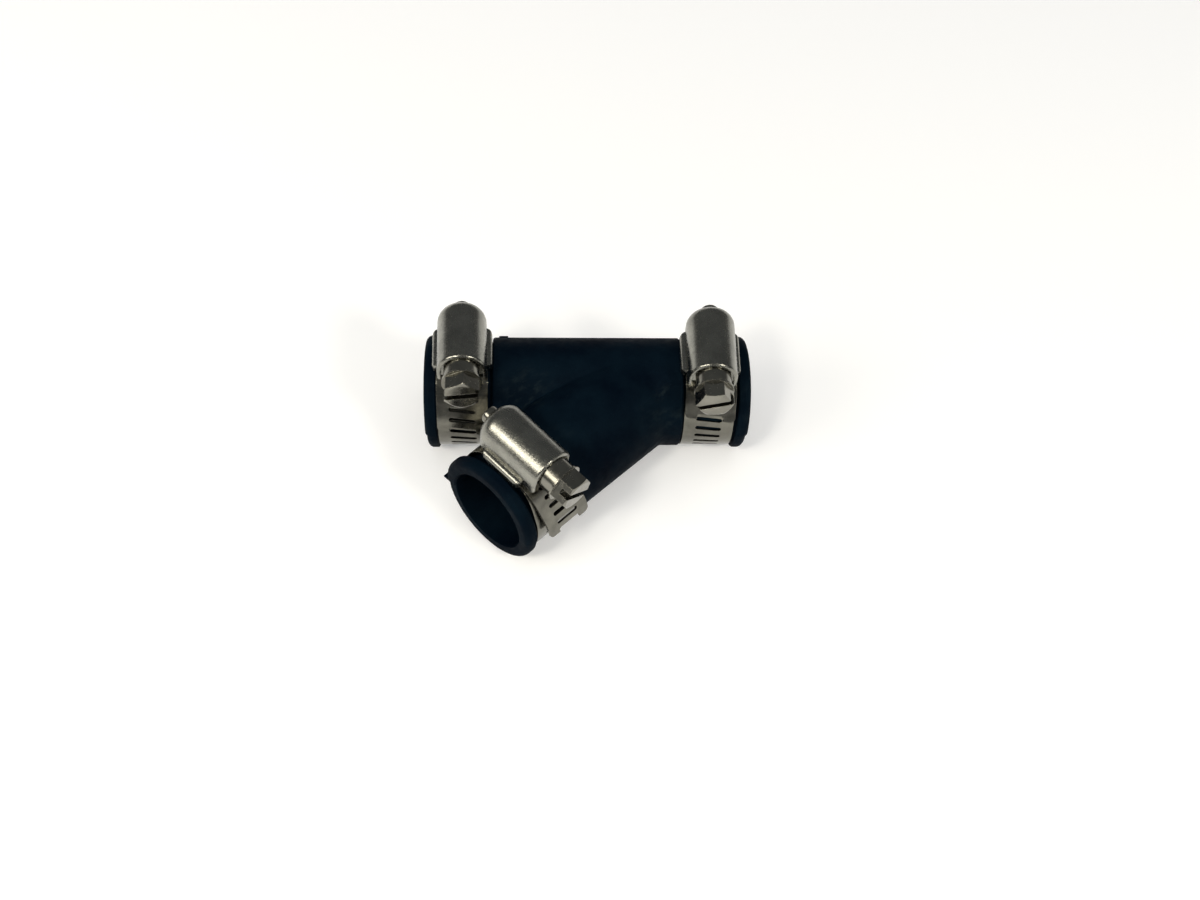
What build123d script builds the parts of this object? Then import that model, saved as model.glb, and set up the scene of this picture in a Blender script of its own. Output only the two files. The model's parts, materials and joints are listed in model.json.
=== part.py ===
"""Rubber wye for tubing, with a worm-drive clamp in the groove of each of its three ends.

Millimetres, +Z up. The wye lies flat: the run is along X, the branch leaves it
at 45 degrees towards -X and -Y, and the origin is where the two axes cross.
"""
import os
from math import atan, cos, degrees, pi, radians, sin, tan
from typing import NamedTuple

from build123d import *

os.makedirs("parts", exist_ok=True)

# Moulded wye
bore_radius = 10.65
groove_wall = 1.85
barrel_step = 1.25
rim_step = 0.45
groove_room = 0.5
rim_width = 3.15
left_land = 2.45
branch_land = 2.15
right_barrel = 11.2
branch_angle = 45.0
branch_root_flare = 1.15
rim_end_round = 1.5
rim_groove_round = 0.5
shoulder_round = 0.6
mouth_chamfer = 0.4
mould_mismatch = 0.3
gate_length = 2.2
gate_width = 1.6
gate_height = 0.35
gate_from_shoulder = 2.6
gate_angle = 50.0
flash_length = 0.6
flash_width = 1.7
flash_thickness = 0.35
flash_from_mouth = 0.1

# Clamp band
band_width = 12.4
band_thickness = 0.6
band_clearance = 0.05
layer_gap = 0.1
bead_clearance = 0.05
slot_pitch = 2.7
slot_width = 1.1
slot_length = 6.5
slot_inset = 0.8
tail_corner_round = 1.2
housing_angle = 24.0
front_landing_angle = 62.0
rear_landing_angle = 68.0
first_slot_angle = 31.0
outline_angle = 7.0

# Clamp housing
dome_inset = 0.2
pick_margin = 0.01
housing_wall = 0.9
dome_rear = 10.5
dome_front = 8.9
dome_end_round = 3.6
dome_lip_round = 0.7
flange_rear = 6.5
flange_front = 5.4
flange_side_gap = 0.3
flange_thickness = 0.8
flange_bend = 0.4
flange_corner_round = 1.5
end_wall = 1.2
lip_depth = 1.4

# Clamp screw
thread_radius = 3.5
thread_core_radius = 2.6
thread_engagement = 0.5
pilot_radius = 2.2
pilot_out = 1.6
pilot_end_round = 0.6
neck_radius = 2.8
thrust_length = 1.2
collar_radius = 4.3
collar_out = 3.4
washer_radius = 4.75
washer_thickness = 0.5
hex_across_flats = 7.94
hex_length = 4.1
hex_chamfer = 0.5
driver_slot_width = 1.5
driver_slot_depth = 2.6
running_gap = 0.08
end_play = 0.3

# How the clamp of each end sits: its place in the groove, towards the crossing, the dip
# and the yaw of its screw, the turns of the hexagon and of its slot, and the band's tail
left_seat = -0.45
left_dip = 0.0
left_yaw = 1.6
left_hex_turn = 24.0
left_slot_turn = 6.0
left_tail_angle = 83.6
left_tail_lift = 0.7
left_tail_shift = 0.0
right_seat = 0.25
right_dip = 4.6
right_yaw = -1.6
right_hex_turn = 7.0
right_slot_turn = 19.0
right_tail_angle = 63.7
right_tail_lift = 0.7
right_tail_shift = 0.0
branch_seat = 0.45
branch_dip = 8.0
branch_yaw = 0.0
branch_hex_turn = -4.0
branch_slot_turn = -36.0
branch_tail_angle = 88.2
branch_tail_lift = 1.8
branch_tail_shift = 2.1

# Sizes that follow from those above
groove_radius = bore_radius + groove_wall
barrel_radius = groove_radius + barrel_step
rim_radius = barrel_radius + rim_step
crotch = barrel_radius / tan(radians(branch_angle / 2))
groove_width = band_width + 2 * groove_room
dome_half_width = band_width / 2 - dome_inset
left_reach = crotch + left_land + groove_width + rim_width
right_reach = right_barrel + groove_width + rim_width
branch_reach = crotch + branch_land + groove_width + rim_width
ring_radius = groove_radius + band_clearance + band_thickness / 2
fixed_radius = rim_radius + bead_clearance + band_thickness / 2
layer_step = band_thickness + layer_gap
outer_radius = fixed_radius + layer_step
band_top = outer_radius + band_thickness / 2
flange_under = band_top + layer_gap / 2
flange_top = flange_under + flange_thickness
flange_half_width = band_width / 2 + flange_side_gap + flange_thickness
lip_foot = rim_radius + bead_clearance
screw_height = band_top - thread_engagement + thread_radius
dome_inner = dome_half_width - housing_wall
dome_centre = screw_height + collar_radius + running_gap - dome_inner
front_wall = dome_front - lip_depth
helix_angle = degrees(atan(slot_pitch / (2 * pi * thread_radius)))
tail_start = 360 + housing_angle


class Fit(NamedTuple):
    """How the clamp of one end sits on its arm."""

    seat: float
    dip: float
    yaw: float
    hex_turn: float
    slot_turn: float
    tail_angle: float
    tail_lift: float
    tail_shift: float


# Each end: direction of its arm, its reach from the crossing, the side that its screw
# head points to, and how its clamp sits
ENDS = {
    "left": (180.0, left_reach, 1, Fit(
        left_seat, left_dip, left_yaw, left_hex_turn, left_slot_turn,
        left_tail_angle, left_tail_lift, left_tail_shift)),
    "right": (0.0, right_reach, -1, Fit(
        right_seat, right_dip, right_yaw, right_hex_turn, right_slot_turn,
        right_tail_angle, right_tail_lift, right_tail_shift)),
    "branch": (180.0 + branch_angle, branch_reach, 1, Fit(
        branch_seat, branch_dip, branch_yaw, branch_hex_turn, branch_slot_turn,
        branch_tail_angle, branch_tail_lift, branch_tail_shift)),
}


def nearest_corners(shape, *points):
    """The vertices of a flat outline that lie nearest to the given points."""
    return [min(shape.vertices(), key=lambda v: (Vector(*v) - Vector(*p)).length) for p in points]


def arm_direction(angle):
    """Unit vector of an arm that leaves the crossing at an angle in the XY plane."""
    return Vector(cos(radians(angle)), sin(radians(angle)), 0)


def arm_plane(angle, distance=0.0):
    """Plane across an arm at a distance from the crossing, with Y up and Z outwards."""
    axis = arm_direction(angle)
    return Plane(origin=axis * distance, x_dir=axis.cross(Vector(0, 0, 1)) * -1, z_dir=axis)


def arm_outside(angle, reach, trim):
    """Outer form of one arm: barrel, clamp groove and rounded end bead."""
    end = reach - trim
    rim_start = reach - rim_width
    shoulder = rim_start - groove_width
    barrel = barrel_radius - trim
    groove = groove_radius - trim
    rim = rim_radius - trim
    outline = make_face(Polyline(
        (0, 0), (0, barrel), (shoulder, barrel), (shoulder, groove), (rim_start, groove),
        (rim_start, rim), (end, rim), (end, 0), close=True,
    ).edges())
    outline = fillet(nearest_corners(outline, (end, rim, 0)), rim_end_round)
    outline = fillet(nearest_corners(outline, (rim_start, rim, 0)), rim_groove_round)
    outline = fillet(nearest_corners(outline, (shoulder, barrel, 0)), shoulder_round)
    return Rot(0, 0, angle) * revolve(outline, Axis.X)


def branch_flare(angle, reach, trim):
    """Barrel of the branch, a little wider in the plane of the wye at its root."""
    shoulder = reach - rim_width - groove_width - shoulder_round
    root = arm_plane(angle) * Ellipse(barrel_radius + branch_root_flare - trim, barrel_radius - trim)
    top = arm_plane(angle, shoulder) * Circle(barrel_radius - trim)
    return loft([root.face(), top.face()])


def wye_outside(trim):
    """Outer form of the whole wye; the lower mould half is trimmed by the mould step."""
    arms = [arm_outside(angle, reach, trim) for angle, reach, *_ in ENDS.values()]
    angle, reach = ENDS["branch"][:2]
    return arms[0] + arms[1] + arms[2] + branch_flare(angle, reach, trim)


def make_wye():
    """Moulded rubber wye: two mould halves, a gate mark, a flash tag and the three bores."""
    half_height = 2 * rim_radius
    halves = Box(8 * rim_radius, 8 * rim_radius, half_height)
    upper = wye_outside(0.0) & Pos(0, 0, half_height / 2) * halves
    lower = wye_outside(mould_mismatch) & Pos(0, 0, -half_height / 2) * halves
    wye = upper + lower
    gate_x = -(left_reach - rim_width - groove_width - gate_from_shoulder)
    gate = Rot(-gate_angle, 0, 0) * Pos(gate_x, 0, barrel_radius) * Box(
        gate_length, gate_width, 2 * gate_height)
    angle, reach = ENDS["branch"][:2]
    flash_middle = rim_radius + flash_length - flash_width / 2
    flash = arm_plane(angle, reach - flash_from_mouth - flash_width / 2) * Pos(
        -flash_middle, 0, 0) * Box(flash_width, flash_thickness, flash_width)
    wye = wye + gate + flash
    for angle, reach, *_ in ENDS.values():
        bore = extrude(Circle(bore_radius), reach + rim_width)
        mouth = Pos(0, 0, reach) * Cone(
            bore_radius, bore_radius + 2 * mouth_chamfer, 2 * mouth_chamfer)
        wye -= arm_plane(angle) * (bore + mouth)
    return wye


def smooth_step(share):
    """Share of a smooth ramp, flat at both of its ends."""
    share = min(max(share, 0.0), 1.0)
    return share * share * (3 - 2 * share)


def inner_layer_radius(angle):
    """Centreline radius of the band's fixed end and of the ring that follows it."""
    ramp = smooth_step((angle - housing_angle) / (front_landing_angle - housing_angle))
    return fixed_radius + (ring_radius - fixed_radius) * ramp


def band_radius(angle, fit):
    """Centreline radius at an angle, counted over the head side from the fixed end onwards."""
    rear_start = 360 - rear_landing_angle
    rear_end = 360 - housing_angle
    if angle <= rear_start:
        return inner_layer_radius(angle)
    if angle <= tail_start:
        ramp = smooth_step((angle - rear_start) / (rear_end - rear_start))
        return ring_radius + (outer_radius - ring_radius) * ramp
    lift = (angle - tail_start) / (360 + fit.tail_angle - tail_start)
    return inner_layer_radius(angle - 360) + layer_step + fit.tail_lift * lift ** 2


def band_point(angle, fit, offset=0.0):
    """Point of the band's side view, angles counted from the top towards the head."""
    radius = band_radius(angle, fit) + offset
    return Vector(radius * sin(radians(angle)), radius * cos(radians(angle)))


def band_tangent(angle, fit, offset=0.0):
    """Direction of the band's side view at an angle."""
    step = 0.01
    return (band_point(angle + step, fit, offset) - band_point(angle - step, fit, offset)).normalized()


def curved_stretch(start, stop, fit, offset):
    """Curve of one face of the band where its radius changes."""
    count = 2 + round((stop - start) / outline_angle)
    angles = [start + (stop - start) * i / (count - 1) for i in range(count)]
    inset = 0.02
    return Spline(
        *[band_point(a, fit, offset) for a in angles],
        tangents=(band_tangent(start + inset, fit, offset), band_tangent(stop - inset, fit, offset)),
    )


def round_stretch(start, stop, fit, offset):
    """Arc of one face of the band where its radius is constant."""
    angles = (start, (start + stop) / 2, stop)
    return ThreePointArc(*[band_point(a, fit, offset) for a in angles])


def strip_profile(side):
    """Side view of a stretch of the band, from a function that draws one of its faces."""
    inner = side(-band_thickness / 2)
    outer = side(band_thickness / 2)
    caps = [Line(inner[0] @ 0, outer[0] @ 0), Line(inner[-1] @ 1, outer[-1] @ 1)]
    return make_face([edge for line in inner + outer + caps for edge in line.edges()])


def ring_side(fit, offset):
    """One face of the ring: the fixed end, the turn round the wye, and over the fixed end again."""
    return [
        round_stretch(-housing_angle, housing_angle, fit, offset),
        curved_stretch(housing_angle, front_landing_angle, fit, offset),
        round_stretch(front_landing_angle, 360 - rear_landing_angle, fit, offset),
        curved_stretch(360 - rear_landing_angle, 360 - housing_angle, fit, offset),
        round_stretch(360 - housing_angle, tail_start, fit, offset),
    ]


def tail_progress(angle, fit):
    """How far an angle of the tail lies along the tangent at the tail's start."""
    start = band_point(tail_start, fit)
    return (band_point(angle, fit) - start).dot(band_tangent(tail_start, fit))


def strip_place(angle, fit):
    """Plane on the band at an angle: X across the band, Y back along it, Z square to it.

    It follows the sideways run of the tail.
    """
    across = Vector(0, 0, 1)
    tangent = band_tangent(angle, fit)
    place = Plane(origin=band_point(angle, fit), x_dir=across, z_dir=tangent.cross(across))
    if angle <= tail_start:
        return place
    slope = -fit.tail_shift / tail_progress(360 + fit.tail_angle, fit)
    sideways = Pos(slope * tail_progress(angle, fit), 0, 0)
    turn = degrees(atan(slope * tangent.dot(band_tangent(tail_start, fit))))
    return Plane(place * sideways * Rot(0, 0, turn))


def slot_angles(fit):
    """Angles of the band's slots, one pitch apart from the tail back to the fixed end."""
    end = 360 + fit.tail_angle
    angle = end - degrees(slot_inset / band_radius(end, fit))
    while angle > first_slot_angle:
        yield angle
        angle -= degrees(slot_pitch / band_radius(angle, fit))


def make_tail(fit):
    """Free end of the band beyond the housing, notched along a slot into two lobes."""
    end = 360 + fit.tail_angle
    spare = degrees(band_width / 2 * tan(radians(helix_angle)) / outer_radius)
    profile = strip_profile(lambda offset: [curved_stretch(tail_start, end + 2 * spare, fit, offset)])
    reach = 4 * rim_radius
    blank = extrude(profile, band_width, both=True)
    slope = degrees(atan(-fit.tail_shift / tail_progress(end, fit)))
    across = Vector(0, 0, 1)
    tangent = band_tangent(tail_start, fit)
    start = Plane(origin=band_point(tail_start, fit), x_dir=across, z_dir=tangent.cross(across))
    sides = start * Rot(0, 0, slope) * Box(band_width * cos(radians(slope)), reach, reach)
    beyond = strip_place(end, fit) * Rot(0, 0, helix_angle) * Pos(0, -band_width, 0) * Box(
        3 * band_width, 2 * band_width, band_width)
    notch = strip_place(end, fit) * Rot(0, 0, helix_angle) * Box(slot_length, 2 * slot_inset, band_width)
    tail = (blank & sides) - beyond - notch
    tip = strip_place(end, fit).origin
    far = [edge for edge in tail.edges() if edge.length < 2 * band_thickness
           and (edge.center() - tip).length > band_width / 3
           and (edge.center() - tip).length < band_width * 2 / 3]
    return fillet(far, tail_corner_round)


def make_band(fit):
    """Slotted clamp band: one turn, with its tail lapped over its fixed end."""
    ring = extrude(strip_profile(lambda offset: ring_side(fit, offset)), band_width / 2, both=True)
    reach = band_thickness / 2 + layer_gap / 3
    cutter = extrude(Rot(0, 0, helix_angle) * SlotOverall(slot_length, slot_width), reach, both=True)
    cutters = [strip_place(angle, fit) * cutter for angle in slot_angles(fit)]
    return Rot(90, 0, 0) * (ring + make_tail(fit) - cutters)


def dome_section(half_width, base):
    """Arch of the housing in the plane across the screw, down to a base height."""
    arch = Pos(0, dome_centre) * Circle(half_width)
    walls = Pos(0, (base + dome_centre) / 2) * Rectangle(2 * half_width, dome_centre - base)
    above = Pos(0, dome_centre + half_width) * Rectangle(2 * half_width, 2 * half_width)
    return (arch & above) + walls


def along_screw(x):
    """Plane across the screw at a place along it, its X axis across the band and its Y axis up."""
    return Plane(origin=(x, 0, 0), x_dir=(0, 1, 0), z_dir=(1, 0, 0))


def flange_section():
    """Bent flange on one side of the housing, down over the edges of both band layers."""
    lip = flange_half_width - flange_thickness
    line = Polyline(
        (dome_inner, flange_under), (lip, flange_under), (lip, lip_foot),
        (flange_half_width, lip_foot), (flange_half_width, flange_top), (dome_inner, flange_top),
        close=True,
    )
    outline = make_face(line.edges())
    outline = fillet(nearest_corners(outline, (lip, flange_under, 0)), flange_bend)
    return fillet(
        nearest_corners(outline, (flange_half_width, flange_top, 0)), flange_bend + flange_thickness)


def edges_behind(shape, x):
    """Edges of a dome's rear wall at a place along the screw, but for the one at its foot."""
    foot = shape.bounding_box().min.Z
    return [e for e in shape.edges()
            if e.center().X < x + pick_margin and e.center().Z > foot + pick_margin]


def make_housing():
    """Pressed screw housing: a dome, a rear wall, a front wall set back under its lip, two flanges."""
    dome_length = dome_rear + dome_front
    dome = along_screw(-dome_rear) * extrude(dome_section(dome_half_width, flange_under), dome_length)
    dome = fillet(edges_behind(dome, -dome_rear), dome_end_round)
    front = [e for e in dome.edges() if e.center().X > dome_front - pick_margin
             and e.center().Z > flange_under + pick_margin]
    dome = fillet(front, dome_lip_round)
    inside = dome_section(dome_inner, lip_foot)
    hollow = along_screw(end_wall - dome_rear) * extrude(
        inside, dome_rear + front_wall - 2 * end_wall)
    hollow = fillet(edges_behind(hollow, end_wall - dome_rear), dome_end_round - end_wall)
    lip = along_screw(front_wall) * extrude(inside, 2 * lip_depth)
    rear_hole = along_screw(-2 * dome_rear) * Pos(0, screw_height) * extrude(
        Circle(pilot_radius + running_gap), 2 * dome_rear)
    neck_hole = neck_radius + running_gap
    front_hole = along_screw(0) * extrude(
        Pos(0, screw_height) * Circle(neck_hole)
        + Pos(0, (screw_height + lip_foot) / 2) * Rectangle(2 * neck_hole, screw_height - lip_foot),
        2 * dome_front)
    housing = dome - hollow - lip - rear_hole - front_hole
    length = flange_rear + flange_front
    plan = RectangleRounded(length, 2 * flange_half_width, flange_corner_round)
    limits = Pos(flange_front - length / 2, 0, 0) * extrude(plan, 2 * flange_top)
    flange = along_screw(-flange_rear) * extrude(flange_section(), length)
    flange = flange & limits
    return housing + flange + mirror(flange, Plane.XZ)


def make_screw(fit):
    """Slotted hexagon worm screw, its neck held in the housing's front wall, its thread left off."""
    neck_start = front_wall - end_wall - end_play
    thrust_start = neck_start - thrust_length
    collar_start = front_wall + end_play
    collar_end = dome_front + collar_out
    washer_end = collar_end + washer_thickness
    head_end = washer_end + hex_length
    pilot_start = -dome_rear - pilot_out
    core_start = end_wall - dome_rear + end_play
    outline = make_face(Polyline(
        (pilot_start, 0), (pilot_start, pilot_radius), (core_start, pilot_radius),
        (core_start, thread_core_radius), (thrust_start, thread_core_radius),
        (thrust_start, thread_radius), (neck_start, thread_radius), (neck_start, neck_radius),
        (collar_start, neck_radius), (collar_start, collar_radius), (collar_end, collar_radius),
        (collar_end, washer_radius), (washer_end, washer_radius), (washer_end, 0), close=True,
    ).edges())
    outline = fillet(nearest_corners(outline, (pilot_start, pilot_radius, 0)), pilot_end_round)
    shaft = revolve(outline, Axis.X)
    corner_radius = hex_across_flats / 2 / cos(radians(30))
    flats = along_screw(collar_end) * extrude(
        Rot(0, 0, fit.hex_turn) * RegularPolygon(corner_radius, 6), head_end - collar_end)
    bevel = make_face(Polyline(
        (0, 0), (0, 2 * corner_radius), (head_end - hex_chamfer, 2 * corner_radius),
        (head_end - hex_chamfer, corner_radius + hex_chamfer / 2),
        (head_end, hex_across_flats / 2 - hex_chamfer / 2), (head_end, 0), close=True,
    ).edges())
    head = flats & revolve(bevel, Axis.X)
    slot = Pos(head_end, 0, 0) * Rot(fit.slot_turn, 0, 0) * Box(
        2 * driver_slot_depth, 4 * corner_radius, driver_slot_width)
    return Pos(0, 0, screw_height) * (shaft + head - slot)


def clamp_plane(angle, reach, side, fit):
    """Frame of a clamp: X along its screw to the head, Y along the tube, Z out through the dome."""
    axis = arm_direction(angle)
    middle = axis * (reach - rim_width - groove_width / 2 - fit.seat)
    up = Vector(0, 0, 1)
    head = up.cross(axis) * side
    dip = radians(fit.dip)
    return Plane(
        origin=middle, x_dir=head * cos(dip) - up * sin(dip), z_dir=up * cos(dip) + head * sin(dip))


def main():
    """Write one file for each piece."""
    export_step(make_wye(), "parts/wye_body.step")
    for end, (angle, reach, side, fit) in ENDS.items():
        place = clamp_plane(angle, reach, side, fit)
        yawed = place * Rot(0, 0, fit.yaw)
        export_step(place * make_band(fit), f"parts/{end}_clamp_band.step")
        export_step(yawed * make_housing(), f"parts/{end}_clamp_housing.step")
        export_step(yawed * make_screw(fit), f"parts/{end}_clamp_screw.step")


main()
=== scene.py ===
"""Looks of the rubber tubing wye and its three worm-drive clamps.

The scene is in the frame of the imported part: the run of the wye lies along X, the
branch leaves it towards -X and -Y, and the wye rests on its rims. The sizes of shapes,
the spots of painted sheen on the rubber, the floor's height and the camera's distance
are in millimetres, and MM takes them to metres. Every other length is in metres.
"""

import json
import logging
from dataclasses import dataclass, replace
from enum import Enum
from math import cos, hypot, pi, radians, sin
from typing import Iterable, Sequence

import bmesh
import bpy
from mathutils import Matrix, Vector


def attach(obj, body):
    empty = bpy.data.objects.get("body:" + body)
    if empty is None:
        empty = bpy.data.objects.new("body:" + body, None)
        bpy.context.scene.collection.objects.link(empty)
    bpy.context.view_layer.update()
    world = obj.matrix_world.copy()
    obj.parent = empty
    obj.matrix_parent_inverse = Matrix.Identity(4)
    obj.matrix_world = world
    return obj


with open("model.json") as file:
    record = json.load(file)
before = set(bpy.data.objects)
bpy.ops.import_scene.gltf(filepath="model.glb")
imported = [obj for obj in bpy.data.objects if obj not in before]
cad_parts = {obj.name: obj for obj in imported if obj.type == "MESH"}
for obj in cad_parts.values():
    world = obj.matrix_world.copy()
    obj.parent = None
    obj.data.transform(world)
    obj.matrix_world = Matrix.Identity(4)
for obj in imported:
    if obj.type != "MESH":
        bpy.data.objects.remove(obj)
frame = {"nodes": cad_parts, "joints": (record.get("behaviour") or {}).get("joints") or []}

Colour = tuple[float, float, float]
Triple = tuple[float, float, float]
Socket = bpy.types.NodeSocket

log = logging.getLogger("tubing_wye")
MM = 0.001
WHITE: Colour = (1.0, 1.0, 1.0)
EDGE_RAYS = 4
AXES = (Vector((1.0, 0.0, 0.0)), Vector((0.0, 1.0, 0.0)), Vector((0.0, 0.0, 1.0)))


class Slot(Enum):
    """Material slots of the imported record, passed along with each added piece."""

    RUBBER = "rubber"
    SCREW = "screw_steel"


class Part(Enum):
    """A part of the wye, whose pieces' names begin with its own word."""

    @property
    def label(self) -> str:
        """The word, in small letters."""
        return self.name.lower()


class End(Part):
    """The three ends of the wye, by the direction that each points to, in degrees."""

    LEFT = 180.0
    RIGHT = 0.0
    BRANCH = 225.0

    @property
    def outward(self) -> Vector:
        """Unit vector along the arm, out of the wye."""
        return Vector((cos(radians(self.value)), sin(radians(self.value)), 0.0))


class Crease(Part):
    """The two creases between run and branch, by the side of the branch along X."""

    CROTCH = -1.0
    OUTER = 1.0


@dataclass(frozen=True)
class Mottle:
    """A smooth random pattern, and the range of its values that counts.

    The scale is in cells per metre, or per unit of stretched coordinates. Detail is the
    number of finer layers, and rough is their strength.
    """

    scale: float = 1.0
    detail: float = 3.0
    rough: float = 0.5
    low: float = 0.0
    high: float = 1.0


class Recipe:
    """A material's node tree, with short ways to add and join its nodes."""

    def __init__(self, name: str) -> None:
        """Starts an empty material.

        Args:
            name: Name of the new material.
        """
        self.material = bpy.data.materials.new(name)
        self.material.use_nodes = True
        self.tree = self.material.node_tree
        self.tree.nodes.clear()
        self.place = self.add("ShaderNodeTexCoord").outputs["Object"]

    def add(self, kind: str, inputs: dict | None = None, **settings: object) -> bpy.types.Node:
        """Adds a node.

        Args:
            kind: Type name of the node.
            inputs: Values or sockets for its inputs, by name or by number.
            settings: Attributes of the node itself.

        Returns:
            The new node.
        """
        node = self.tree.nodes.new(kind)
        for name, value in settings.items():
            setattr(node, name, value)
        for name, value in (inputs or {}).items():
            self.feed(node.inputs[name], value)
        return node

    def feed(self, socket: Socket, value: object) -> None:
        """Links a socket to another one, or sets its value.

        Args:
            socket: The input to feed.
            value: A socket, a number or a tuple.
        """
        if isinstance(value, Socket):
            self.tree.links.new(value, socket)
        else:
            socket.default_value = value

    def stretched(self, scale: Sequence[float], turn: float = 0.0) -> Socket:
        """Object coordinates turned about Z and scaled along each axis.

        Args:
            scale: Scale along X, Y and Z after the turn.
            turn: Direction of the new X axis, in degrees.

        Returns:
            The socket of the new coordinates.
        """
        turned = self.add("ShaderNodeMapping", {
            "Vector": self.place, "Rotation": (0.0, 0.0, -radians(turn))})
        return self.add("ShaderNodeMapping", {
            "Vector": turned.outputs["Vector"], "Scale": tuple(scale)}).outputs["Vector"]

    def noise(self, mottle: Mottle, place: Socket | None = None) -> Socket:
        """Value of a random pattern.

        Args:
            mottle: The pattern.
            place: Coordinates, where they aren't the object's own.

        Returns:
            The pattern's value, from 0 to 1.
        """
        return self.add("ShaderNodeTexNoise", {
            "Vector": place or self.place, "Scale": mottle.scale, "Detail": mottle.detail,
            "Roughness": mottle.rough}).outputs["Fac"]

    def share(self, mottle: Mottle, place: Socket | None = None,
              to_low: float = 0.0, to_high: float = 1.0) -> Socket:
        """Value of a random pattern, with the range that counts mapped onto another.

        Args:
            mottle: The pattern.
            place: Coordinates, where they aren't the object's own.
            to_low: Result at the start of the range and before it.
            to_high: Result at the end of the range and beyond it.

        Returns:
            The mapped value.
        """
        return self.ranged(self.noise(mottle, place), mottle.low, mottle.high, to_low, to_high)

    def distance(self, point: Triple) -> Socket:
        """Distance from a point in the object's own coordinates.

        Args:
            point: The point, in metres.

        Returns:
            The distance in metres.
        """
        return self.add("ShaderNodeVectorMath", {0: self.place, 1: point},
                        operation="DISTANCE").outputs["Value"]

    def ranged(self, value: Socket, low: float, high: float,
               to_low: float = 0.0, to_high: float = 1.0) -> Socket:
        """Maps a value from one range onto another, held at the ends.

        Args:
            value: The value to map.
            low: Start of the range it is read in.
            high: End of the range it is read in.
            to_low: Result at the start.
            to_high: Result at the end.

        Returns:
            The mapped value.
        """
        return self.add("ShaderNodeMapRange", {
            "Value": value, "From Min": low, "From Max": high,
            "To Min": to_low, "To Max": to_high}).outputs["Result"]

    def blend(self, share: Socket, first: Socket | Colour, second: Socket | Colour) -> Socket:
        """Mixes two colours.

        Args:
            share: Share of the second colour.
            first: Colour at 0, linear.
            second: Colour at 1, linear.

        Returns:
            The mixed colour.
        """
        mix = self.add("ShaderNodeMix", {"Factor": share}, data_type="RGBA")
        for socket, colour in zip([s for s in mix.inputs if s.type == "RGBA"], (first, second)):
            self.feed(socket, colour if isinstance(colour, Socket) else (*colour, 1.0))
        return next(s for s in mix.outputs if s.type == "RGBA")

    def math(self, operation: str, *values: Socket | float) -> Socket:
        """Joins values with one operation.

        Args:
            operation: Name of the operation.
            values: Its one to three values.

        Returns:
            The result.
        """
        return self.add("ShaderNodeMath", dict(enumerate(values)),
                        operation=operation).outputs["Value"]

    def relief(self, layers: Iterable[tuple[Socket, float]], edge: float = 0.0) -> Socket:
        """Bumps laid over one another.

        Args:
            layers: Each layer's height pattern and its depth in metres.
            edge: Radius in metres that sharp edges catch the light with.

        Returns:
            The normal of the last layer.
        """
        normal: Socket | None = None
        if edge:
            bevel = self.add("ShaderNodeBevel", {"Radius": edge}, samples=EDGE_RAYS)
            normal = bevel.outputs["Normal"]
        for height, depth in layers:
            inputs = {"Height": height, "Distance": depth, "Strength": 1.0}
            if normal:
                inputs["Normal"] = normal
            normal = self.add("ShaderNodeBump", inputs).outputs["Normal"]
        return normal

    def finish(self, **inputs: object) -> bpy.types.Material:
        """Closes the recipe with its shader.

        Args:
            inputs: Values or sockets of the shader, with spaces as underscores.

        Returns:
            The finished material.
        """
        shader = self.add("ShaderNodeBsdfPrincipled", {
            name.replace("_", " "): value for name, value in inputs.items()})
        self.add("ShaderNodeOutputMaterial", {"Surface": shader.outputs["BSDF"]})
        return self.material


@dataclass(frozen=True)
class WornSpot:
    """A place on the rubber, in millimetres, painted lighter as painted sheen where the lamps'
    gloss falls.
    """

    place: Triple
    reach: float
    core: float = 0.2

    def cover(self, recipe: Recipe) -> Socket:
        """Share of painted sheen at each point.

        Args:
            recipe: The material that the spot is part of.

        Returns:
            1 in the spot's core and 0 beyond its reach.
        """
        apart = recipe.distance(tuple(v * MM for v in self.place))
        return recipe.ranged(apart, self.core * self.reach * MM, self.reach * MM, 1.0, 0.0)


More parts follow.
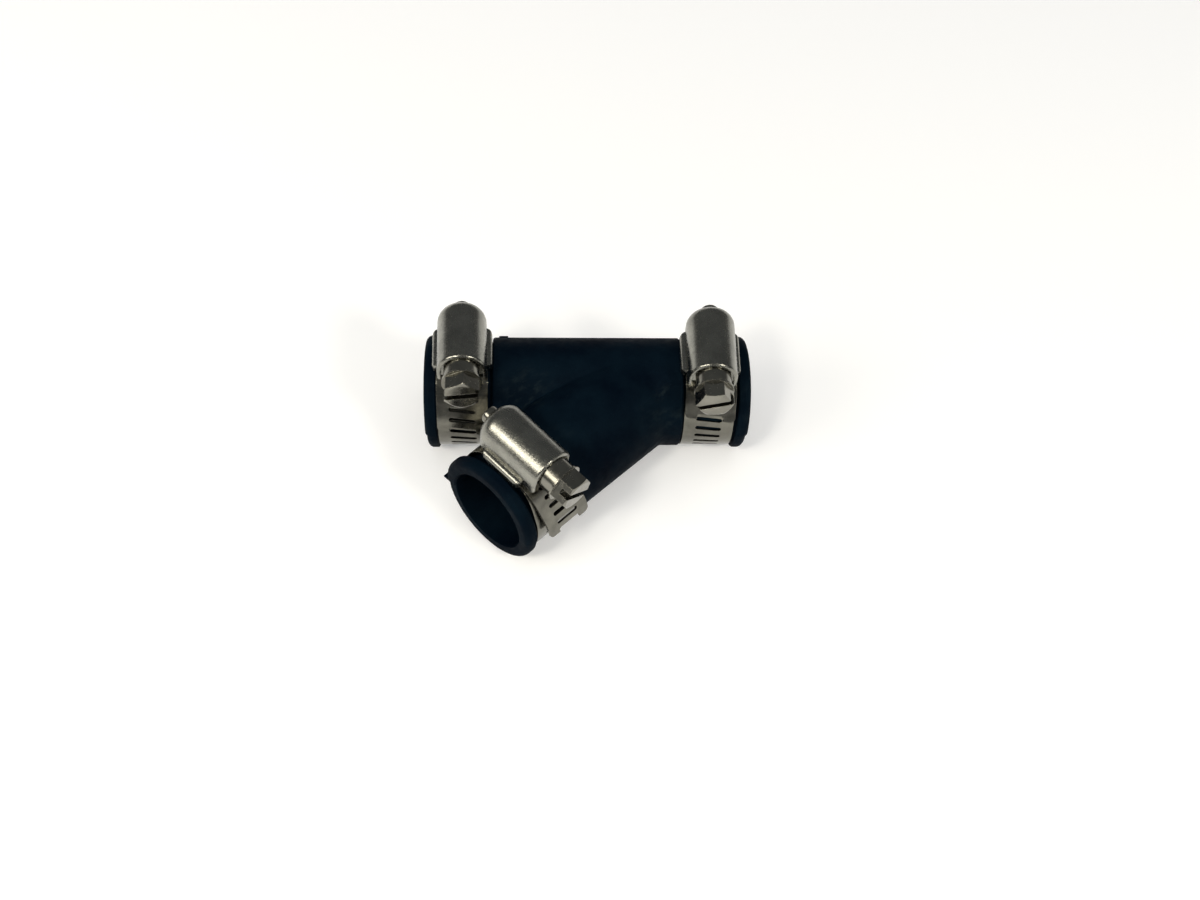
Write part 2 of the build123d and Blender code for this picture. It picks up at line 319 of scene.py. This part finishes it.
@dataclass(frozen=True)
class MouldedRubber:
    """Soft black moulded rubber with a thin blue-grey bloom, dusty scuffs, and placed lighter spots
    of painted sheen.
    """

    deep: Colour = (0.0005, 0.0023, 0.0060)
    bloom: Colour = (0.0031, 0.0094, 0.0158)
    # Colour of the random dusty scuffs, and also of the painted sheen in the placed spots.
    dust: Colour = (0.0130, 0.0210, 0.0240)
    optical_density: float = 1.08
    roughness: tuple[float, float] = (0.50, 0.68)
    clouds: Mottle = Mottle(70.0, 5.0, 0.62, 0.32, 0.78)
    patches: Mottle = Mottle(38.0, 2.0, 0.5, 0.56, 0.74)
    wipes: Mottle = Mottle(1.0, 5.0, 0.62, 0.50, 0.78)
    wipe_scale: Triple = (260.0, 620.0, 520.0)
    wipe_turn: float = 32.0
    sheen: Mottle = Mottle(420.0, 3.0, 0.5, 0.3, 0.7)
    swell: Mottle = Mottle(900.0, 2.0)
    swell_depth: float = 0.00004
    skin: Mottle = Mottle(5200.0, 2.0)
    skin_depth: float = 0.000012
    # Placed spots of painted sheen: lighter rubber where the lamps' gloss falls beside the two
    # creases.
    worn_spots: tuple[WornSpot, ...] = (
        WornSpot((-27.6, -8.9, 10.6), 8.0), WornSpot((6.4, -9.2, 9.6), 3.6))

    def make(self) -> bpy.types.Material:
        """Builds the material.

        Returns:
            The material.
        """
        r = Recipe("moulded_rubber")
        wiped = r.share(self.wipes, r.stretched(self.wipe_scale, self.wipe_turn))
        wear_and_sheen = r.share(self.patches)
        # The random patches are real dust and wear; the placed spots add painted sheen on top of
        # them.
        for spot in self.worn_spots:
            wear_and_sheen = r.math("MAXIMUM", wear_and_sheen, spot.cover(r))
        clean = r.blend(r.share(self.clouds), self.deep, self.bloom)
        return r.finish(
            Base_Color=r.blend(r.math("MULTIPLY", wiped, wear_and_sheen), clean, self.dust),
            Roughness=r.share(self.sheen, None, *self.roughness),
            IOR=self.optical_density,
            Normal=r.relief([(r.noise(self.swell), self.swell_depth),
                             (r.noise(self.skin), self.skin_depth)]))


@dataclass(frozen=True)
class Steel:
    """Stainless steel with a grain along one direction, stains and small pits."""

    light: Colour
    dull: Colour
    roughness: tuple[float, float]
    grain_scale: Triple
    grain_depth: float
    pit_depth: float
    grain: Mottle = Mottle(1.0, 3.0, 0.6)
    pits: Mottle = Mottle(3600.0, 3.0, 0.6)
    stains: Mottle = Mottle(170.0, 4.0, 0.6, 0.35, 0.72)
    marks: Mottle = Mottle(900.0, 4.0, 0.6, 0.32, 0.68)
    mark_share: float = 0.6
    swell: Mottle = Mottle(330.0, 2.0)
    swell_depth: float = 0.000012
    edge_round: float = 0.00022

    def make(self, name: str, grain_turn: float) -> bpy.types.Material:
        """Builds the material.

        Args:
            name: Name of the material.
            grain_turn: Direction of the grain's own X axis, in degrees.

        Returns:
            The material.
        """
        r = Recipe(name)
        grain = r.noise(self.grain, r.stretched(self.grain_scale, grain_turn))
        marked = r.math("MULTIPLY_ADD", r.noise(self.marks), self.mark_share,
                        r.math("MULTIPLY", grain, 1.0 - self.mark_share))
        return r.finish(
            Base_Color=r.blend(r.share(self.stains), self.light, self.dull),
            Metallic=1.0,
            Roughness=r.ranged(marked, self.marks.low, self.marks.high, *self.roughness),
            Normal=r.relief([(r.noise(self.swell), self.swell_depth),
                             (r.noise(self.pits), self.pit_depth),
                             (grain, self.grain_depth)], self.edge_round))


ROLLED_STRIP = Steel(
    light=(0.19, 0.185, 0.158), dull=(0.105, 0.102, 0.089), roughness=(0.13, 0.28),
    grain_scale=(5200.0, 120.0, 120.0), grain_depth=0.0000035, pit_depth=0.000004)
PRESSED_SHEET = Steel(
    light=(0.30, 0.297, 0.263), dull=(0.20, 0.198, 0.177), roughness=(0.19, 0.33),
    grain_scale=(160.0, 2600.0, 2600.0), grain_depth=0.000002, pit_depth=0.000006)
ROUGHENED_SHEET = replace(PRESSED_SHEET, pit_depth=0.000030)
HEADED_BAR = Steel(
    light=(0.26, 0.252, 0.216), dull=(0.17, 0.165, 0.143), roughness=(0.15, 0.30),
    grain_scale=(4200.0, 300.0, 300.0), grain_depth=0.0000015, pit_depth=0.000002)


def dress(node: str, finish: bpy.types.Material) -> None:
    """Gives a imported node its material.

    Args:
        node: Name of the node.
        finish: The material.
    """
    data = frame["nodes"][node].data
    data.materials.clear()
    data.materials.append(finish)
    log.info("%s: dressed in %s", node, finish.name)


def mesh_piece(name: str, points: Sequence[Vector], faces: Sequence[Sequence[int]],
               finish: bpy.types.Material, slot: Slot, body: str,
               flat_above: float = 35.0) -> None:
    """Adds a mesh object that rides on a body.

    Args:
        name: Name of the piece.
        points: Its points, in metres.
        faces: Its faces, as numbers of points.
        finish: Its material.
        slot: Record slot of its finish; not used.
        body: Body that it rides on.
        flat_above: Angle in degrees above which an edge shows sharp.
    """
    mesh = bpy.data.meshes.new(name)
    mesh.from_pydata([tuple(p) for p in points], [], [tuple(f) for f in faces])
    work = bmesh.new()
    work.from_mesh(mesh)
    bmesh.ops.recalc_face_normals(work, faces=work.faces)
    for edge in work.edges:
        edge.smooth = edge.calc_face_angle(0.0) < radians(flat_above)
    for face in work.faces:
        face.smooth = True
    work.to_mesh(mesh)
    work.free()
    mesh.materials.append(finish)
    piece = bpy.data.objects.new(name, mesh)
    bpy.context.scene.collection.objects.link(piece)
    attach(piece, body)
    log.info("%s: %d faces on %s", name, len(mesh.polygons), body)


def loft(rings: Sequence[Sequence[Vector]]) -> tuple[list[Vector], list[tuple[int, ...]]]:
    """Closed skin through rings of equal counts, with a face over each end.

    Args:
        rings: The rings of points, in order.

    Returns:
        The points and the faces.
    """
    count = len(rings[0])
    points = [p for ring in rings for p in ring]
    faces: list[tuple[int, ...]] = []
    for row in range(len(rings) - 1):
        for i in range(count):
            j = (i + 1) % count
            a, b = row * count, (row + 1) * count
            faces.append((a + i, a + j, b + j, b + i))
    faces.append(tuple(reversed(range(count))))
    faces.append(tuple(range((len(rings) - 1) * count, len(rings) * count)))
    return points, faces


def spoke(angle: float) -> Vector:
    """Unit vector from the run's axis, at an angle up from the side of the branch."""
    return Vector((0.0, -cos(angle), sin(angle)))


@dataclass
class RubberWye:
    """The moulded rubber body, with the small radii left along its creases."""

    barrel_radius: float = 13.75
    root_flare: float = 1.15
    flare_length: float = 34.745
    mould_mismatch: float = 0.3
    crotch_radius: float = 0.7
    outer_radius: float = 3.2
    edge_sink: float = 0.02
    edge_power: int = 4
    corner_sink: float = 0.25
    search_length: float = 60.0
    search_halvings: int = 50
    probe_step: float = 0.01
    crease_from: float = 0.5
    crease_sweep: float = 77.5
    crease_sections: int = 60
    section_parts: int = 8
    body: str = "wye"

    def branch_gap(self, place: Vector, trim: float) -> float:
        """Distance from the flared branch, in millimetres, less than 0 inside it.

        Args:
            place: A point, in millimetres.
            trim: How much smaller this mould half is.

        Returns:
            The distance, near enough for the small radii here.
        """
        ahead = End.BRANCH.outward
        across = place.dot(Vector((-ahead.y, ahead.x, 0.0)))
        share = min(max(place.dot(ahead) / self.flare_length, 0.0), 1.0)
        wide = self.barrel_radius - trim + self.root_flare * (1.0 - share)
        high = self.barrel_radius - trim
        size = hypot(across / wide, place.z / high)
        slope = hypot(across / wide ** 2, place.z / high ** 2) / size
        return (size - 1.0) / slope

    def resting_ball(self, angle: float, side: Crease, radius: float, trim: float) -> Vector:
        """Middle of the ball that touches both the run and the branch.

        Args:
            angle: Height of the ball, as an angle around the run.
            side: Crease that the ball rolls in.
            radius: Radius of the ball, in millimetres.
            trim: How much smaller this mould half is.

        Returns:
            The middle, in millimetres.
        """
        run = self.barrel_radius - trim
        branch_middle = -run * cos(angle)
        low, high = 0.0, self.search_length
        for _ in range(self.search_halvings):
            middle = (low + high) / 2
            along = Vector((branch_middle + side.value * middle, 0.0, 0.0))
            ball = spoke(angle) * (run + radius) + along
            if self.branch_gap(ball, trim) < radius:
                low = middle
            else:
                high = middle
        return ball

    def crease_ring(self, angle: float, side: Crease, radius: float, trim: float) -> list[Vector]:
        """Section of the small radius that fills the crease between run and branch.

        Args:
            angle: Height of the section, as an angle around the run.
            side: The crease.
            radius: Radius of the rolling ball, in millimetres.
            trim: How much smaller this mould half is.

        Returns:
            The section's points, in millimetres.
        """
        ball = self.resting_ball(angle, side, radius, trim)
        steps = [axis * self.probe_step for axis in AXES]
        slope = Vector([
            self.branch_gap(ball + step, trim) - self.branch_gap(ball - step, trim)
            for step in steps]).normalized()
        first, last = -spoke(angle), -slope
        opening = first.angle(last)
        ring = []
        for i in range(self.section_parts + 1):
            share = i / self.section_parts
            turn = (first * sin((1 - share) * opening) + last * sin(share * opening)) / sin(opening)
            sink = self.edge_sink * abs(2 * share - 1) ** self.edge_power
            ring.append(ball + turn * (radius + sink))
        corner = radius / cos(opening / 2) + self.corner_sink
        ring.append(ball + (first + last).normalized() * corner)
        return ring

    def crease(self, side: Crease, radius: float, rubber: bpy.types.Material) -> None:
        """Both mould halves of one crease's small radius.

        Args:
            side: The crease.
            radius: Radius of the rolling ball, in millimetres.
            rubber: Its material.
        """
        for half, trim, sign in (("upper", 0.0, 1), ("lower", self.mould_mismatch, -1)):
            rings = []
            for i in range(self.crease_sections + 1):
                height = self.crease_from + self.crease_sweep * i / self.crease_sections
                ring = self.crease_ring(radians(sign * height), side, radius, trim)
                rings.append([p * MM for p in ring])
            mesh_piece(f"{side.label}_crease_{half}", *loft(rings), rubber, Slot.RUBBER,
                       self.body)

    def build(self) -> None:
        """Dresses the rubber node and adds what its creases lack."""
        rubber = MouldedRubber().make()
        dress("wye_body", rubber)
        self.crease(Crease.CROTCH, self.crotch_radius, rubber)
        self.crease(Crease.OUTER, self.outer_radius, rubber)


@dataclass
class WormClamp:
    """One worm-drive clamp: its slotted band, its housing and its captive screw."""

    end: End
    thread_root: float = 2.56
    thread_crest: float = 2.96
    thread_pitch: float = 2.7
    thread_from: float = -8.7
    thread_to: float = 4.7
    foot_half_width: float = 0.62
    top_half_width: float = 0.30
    foot_sink: float = 0.1
    steps_per_turn: int = 40
    fade_steps: int = 12
    least_fade: float = 0.05

    @property
    def screw_body(self) -> str:
        """Body that the screw turns with."""
        return f"{self.end.label}_screw"

    def screw_frame(self) -> tuple[Vector, Matrix]:
        """Middle of the screw and its turn, with X towards the head.

        Returns:
            The point in metres and the 3 by 3 matrix.
        """
        joint = next(j for j in frame["joints"] if j["child"] == self.screw_body)
        ahead = Vector(joint["axis"]).normalized()
        side = Vector((0, 0, 1)).cross(ahead).normalized()
        return Vector(joint["pos_m"]), Matrix((ahead, side, ahead.cross(side))).transposed()

    def worm(self, finish: bpy.types.Material) -> None:
        """Adds the helical ridge of the screw, kept clear of the band.

        Args:
            finish: Its material.
        """
        middle, turn = self.screw_frame()
        length = self.thread_to - self.thread_from
        steps = int(length / self.thread_pitch * self.steps_per_turn)
        foot = self.thread_root - self.foot_sink
        rings = []
        for i in range(steps + 1):
            x = self.thread_from + length * i / steps
            around = 2 * pi * (x - self.thread_from) / self.thread_pitch
            fade = max(min(1.0, i / self.fade_steps, (steps - i) / self.fade_steps),
                       self.least_fade)
            crest = self.thread_root + (self.thread_crest - self.thread_root) * fade
            out = Vector((0.0, cos(around), sin(around)))
            section = ((-self.foot_half_width, foot), (-self.top_half_width, crest),
                       (self.top_half_width, crest), (self.foot_half_width, foot))
            rings.append([
                middle + turn @ (Vector((x + dx, 0, 0)) + out * r) * MM for dx, r in section])
        mesh_piece(f"{self.end.label}_screw_worm", *loft(rings), finish, Slot.SCREW,
                   self.screw_body)

    def build(self) -> None:
        """Dresses the clamp's three nodes and adds the screw's worm."""
        label = self.end.label
        along, across = self.end.value, self.end.value + 90.0
        sheet = ROUGHENED_SHEET if self.end is End.BRANCH else PRESSED_SHEET
        turned = HEADED_BAR.make(f"{label}_screw_steel", across)
        dress(f"{label}_clamp_band", ROLLED_STRIP.make(f"{label}_band_steel", along))
        dress(f"{label}_clamp_housing", sheet.make(f"{label}_housing_steel", across))
        dress(f"{label}_clamp_screw", turned)
        self.worm(turned)


@dataclass(frozen=True)
class SoftBox:
    """Rectangular soft lamp that faces the object."""

    name: str
    toward: Triple
    distance: float
    width: float
    height: float
    power: float
    tint: Colour = WHITE
    mirrored: bool = True

    def hang(self) -> None:
        """Adds the lamp, which shows in gloss only where it is mirrored."""
        data = bpy.data.lights.new(self.name, "AREA")
        data.shape = "RECTANGLE"
        data.size = self.width
        data.size_y = self.height
        data.energy = self.power
        data.color = self.tint
        lamp = bpy.data.objects.new(self.name, data)
        lamp.location = Vector(self.toward).normalized() * self.distance
        lamp.rotation_euler = Vector(self.toward).to_track_quat("Z", "Y").to_euler()
        lamp.visible_glossy = self.mirrored
        bpy.context.scene.collection.objects.link(lamp)
        log.info("%s: %.2f W", self.name, self.power)


@dataclass(frozen=True)
class BackdropPaper:
    """White paper that shows white to the camera and in gloss, and keeps a shadow.

    It fades to grey up the backdrop, and its glow makes up for the weaker light far out.
    """

    fade_from: float = 0.01
    fade_to: float = 0.15
    low_shade: float = 0.78
    high_shade: float = 0.16
    near: float = 0.08
    far: float = 0.75
    near_glow: float = 0.30
    far_glow: float = 0.50
    high_glow_share: float = 0.15

    def make(self) -> bpy.types.Material:
        """Builds the material.

        Returns:
            The material.
        """
        r = Recipe("studio_paper")
        path = r.add("ShaderNodeLightPath").outputs
        seen = r.math("MAXIMUM", r.math("MAXIMUM", path["Is Camera Ray"], path["Is Glossy Ray"]),
                      path["Is Transmission Ray"])
        height = r.add("ShaderNodeSeparateXYZ", {0: r.place}).outputs["Z"]
        fade = r.ranged(height, self.fade_from, self.fade_to)
        apart = r.distance((0.0, 0.0, 0.0))
        glow = r.math("MULTIPLY",
                      r.ranged(apart, self.near, self.far, self.near_glow, self.far_glow),
                      r.ranged(fade, 0.0, 1.0, 1.0, self.high_glow_share))
        paper = r.add("ShaderNodeBsdfDiffuse", {
            "Color": r.blend(fade, (self.low_shade,) * 3, (self.high_shade,) * 3)})
        light = r.add("ShaderNodeEmission", {
            "Color": (*WHITE, 1.0), "Strength": r.math("MULTIPLY", seen, glow)})
        both = r.add("ShaderNodeAddShader", {0: paper.outputs[0], 1: light.outputs[0]})
        r.add("ShaderNodeOutputMaterial", {"Surface": both.outputs[0]})
        return r.material


@dataclass
class Studio:
    """Pale floor that sweeps up to a grey edge, soft lamps and a dim room."""

    floor_height: float = -13.9
    floor_radius: float = 1.1
    sweep_radius: float = 0.35
    wall_height: float = 0.40
    sweep_parts: int = 16
    around: int = 96
    room_light: float = 0.15
    room_tint: Colour = (0.94, 0.98, 1.0)
    warm: Colour = (1.0, 0.95, 0.84)

    def profile(self) -> list[tuple[float, float]]:
        """Outline of floor, sweep and wall.

        Returns:
            Radius and height of each point, in metres, from the middle outwards.
        """
        flat = self.floor_radius - self.sweep_radius
        points = [(0.0, 0.0), (flat, 0.0)]
        for i in range(1, self.sweep_parts + 1):
            a = pi / 2 * i / self.sweep_parts
            points.append((flat + self.sweep_radius * sin(a), self.sweep_radius * (1 - cos(a))))
        return points + [(self.floor_radius, self.wall_height)]

    def floor(self) -> None:
        """Adds floor and sweep in one turned skin."""
        profile = self.profile()
        turns = [2 * pi * i / self.around for i in range(self.around)]
        points = [(0.0, 0.0, 0.0)]
        points += [(r * cos(a), r * sin(a), z) for r, z in profile[1:] for a in turns]
        following = [(i + 1) % self.around for i in range(self.around)]
        faces: list[tuple[int, ...]] = [(0, 1 + i, 1 + j) for i, j in enumerate(following)]
        for row in range(len(profile) - 2):
            a, b = 1 + row * self.around, 1 + (row + 1) * self.around
            faces += [(a + i, b + i, b + j, a + j) for i, j in enumerate(following)]
        mesh = bpy.data.meshes.new("studio_floor")
        mesh.from_pydata(points, [], faces)
        for polygon in mesh.polygons:
            polygon.use_smooth = True
        mesh.materials.append(BackdropPaper().make())
        floor = bpy.data.objects.new("studio_floor", mesh)
        floor.location.z = self.floor_height * MM
        bpy.context.scene.collection.objects.link(floor)

    def lamps(self) -> tuple[SoftBox, ...]:
        """Lists the lamps.

        Returns:
            A broad lamp, two small ones for the bright lips, and an even fill.
        """
        return (
            SoftBox("left_box", (-0.72, -0.34, 0.60), 0.75, 0.34, 0.26, 1.75, self.warm),
            SoftBox("left_spot", (-0.41, -0.53, 0.74), 0.75, 0.11, 0.11, 1.7, self.warm),
            SoftBox("right_spot", (0.53, -0.54, 0.65), 0.75, 0.11, 0.11, 1.8, self.warm),
            SoftBox("overhead_fill", (0.0, -0.15, 1.0), 1.0, 1.2, 1.2, 4.4, mirrored=False))

    def build(self) -> None:
        """Sets up the floor, the lamps and the room's own light."""
        self.floor()
        for lamp in self.lamps():
            lamp.hang()
        world = bpy.data.worlds.new("room")
        bpy.context.scene.world = world
        world.use_nodes = True
        back = world.node_tree.nodes["Background"]
        back.inputs["Color"].default_value = (*self.room_tint, 1.0)
        back.inputs["Strength"].default_value = self.room_light


@dataclass
class PhotoCamera:
    """Camera fitted to the photograph: angles in degrees, places in pixels of its frame."""

    azimuth: float = -5.0
    elevation: float = 52.86
    roll: float = 3.94
    distance: float = 322.79
    focal_pixels: float = 1269.54
    centre_x: float = 634.15
    centre_y: float = 392.22
    frame_width: float = 1200.0
    frame_height: float = 900.0
    sensor: float = 36.0
    nearest: float = 0.01
    furthest: float = 20.0

    def turn(self) -> Matrix:
        """Works out how the camera is turned.

        Returns:
            Its own axes, as the columns of a matrix.
        """
        az, el, roll = (radians(v) for v in (self.azimuth, self.elevation, self.roll))
        back = Vector((sin(az) * cos(el), -cos(az) * cos(el), sin(el)))
        right = Vector((cos(az), sin(az), 0.0))
        up = back.cross(right)
        return Matrix((right * cos(roll) + up * sin(roll), up * cos(roll) - right * sin(roll),
                       back)).transposed()

    def build(self) -> None:
        """Adds the camera and makes it the scene's own."""
        turn = self.turn()
        scale = self.distance / self.focal_pixels
        origin = Vector(((self.centre_x - self.frame_width / 2) * scale,
                         -(self.centre_y - self.frame_height / 2) * scale, -self.distance))
        data = bpy.data.cameras.new("photo_camera")
        data.sensor_fit = "HORIZONTAL"
        data.sensor_width = self.sensor
        data.lens = self.sensor * self.focal_pixels / self.frame_width
        data.clip_start = self.nearest
        data.clip_end = self.furthest
        camera = bpy.data.objects.new("photo_camera", data)
        place = turn.to_4x4()
        place.translation = -(turn @ origin) * MM
        camera.matrix_world = place
        bpy.context.scene.collection.objects.link(camera)
        bpy.context.scene.camera = camera


def main() -> None:
    """Builds the pieces in order."""
    logging.basicConfig(level=logging.INFO, format="%(name)s %(message)s")
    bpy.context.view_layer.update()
    RubberWye().build()
    for end in End:
        WormClamp(end).build()
    Studio().build()
    PhotoCamera().build()
    bpy.context.scene.view_settings.view_transform = "Standard"


if __name__ == "__main__":
    main()
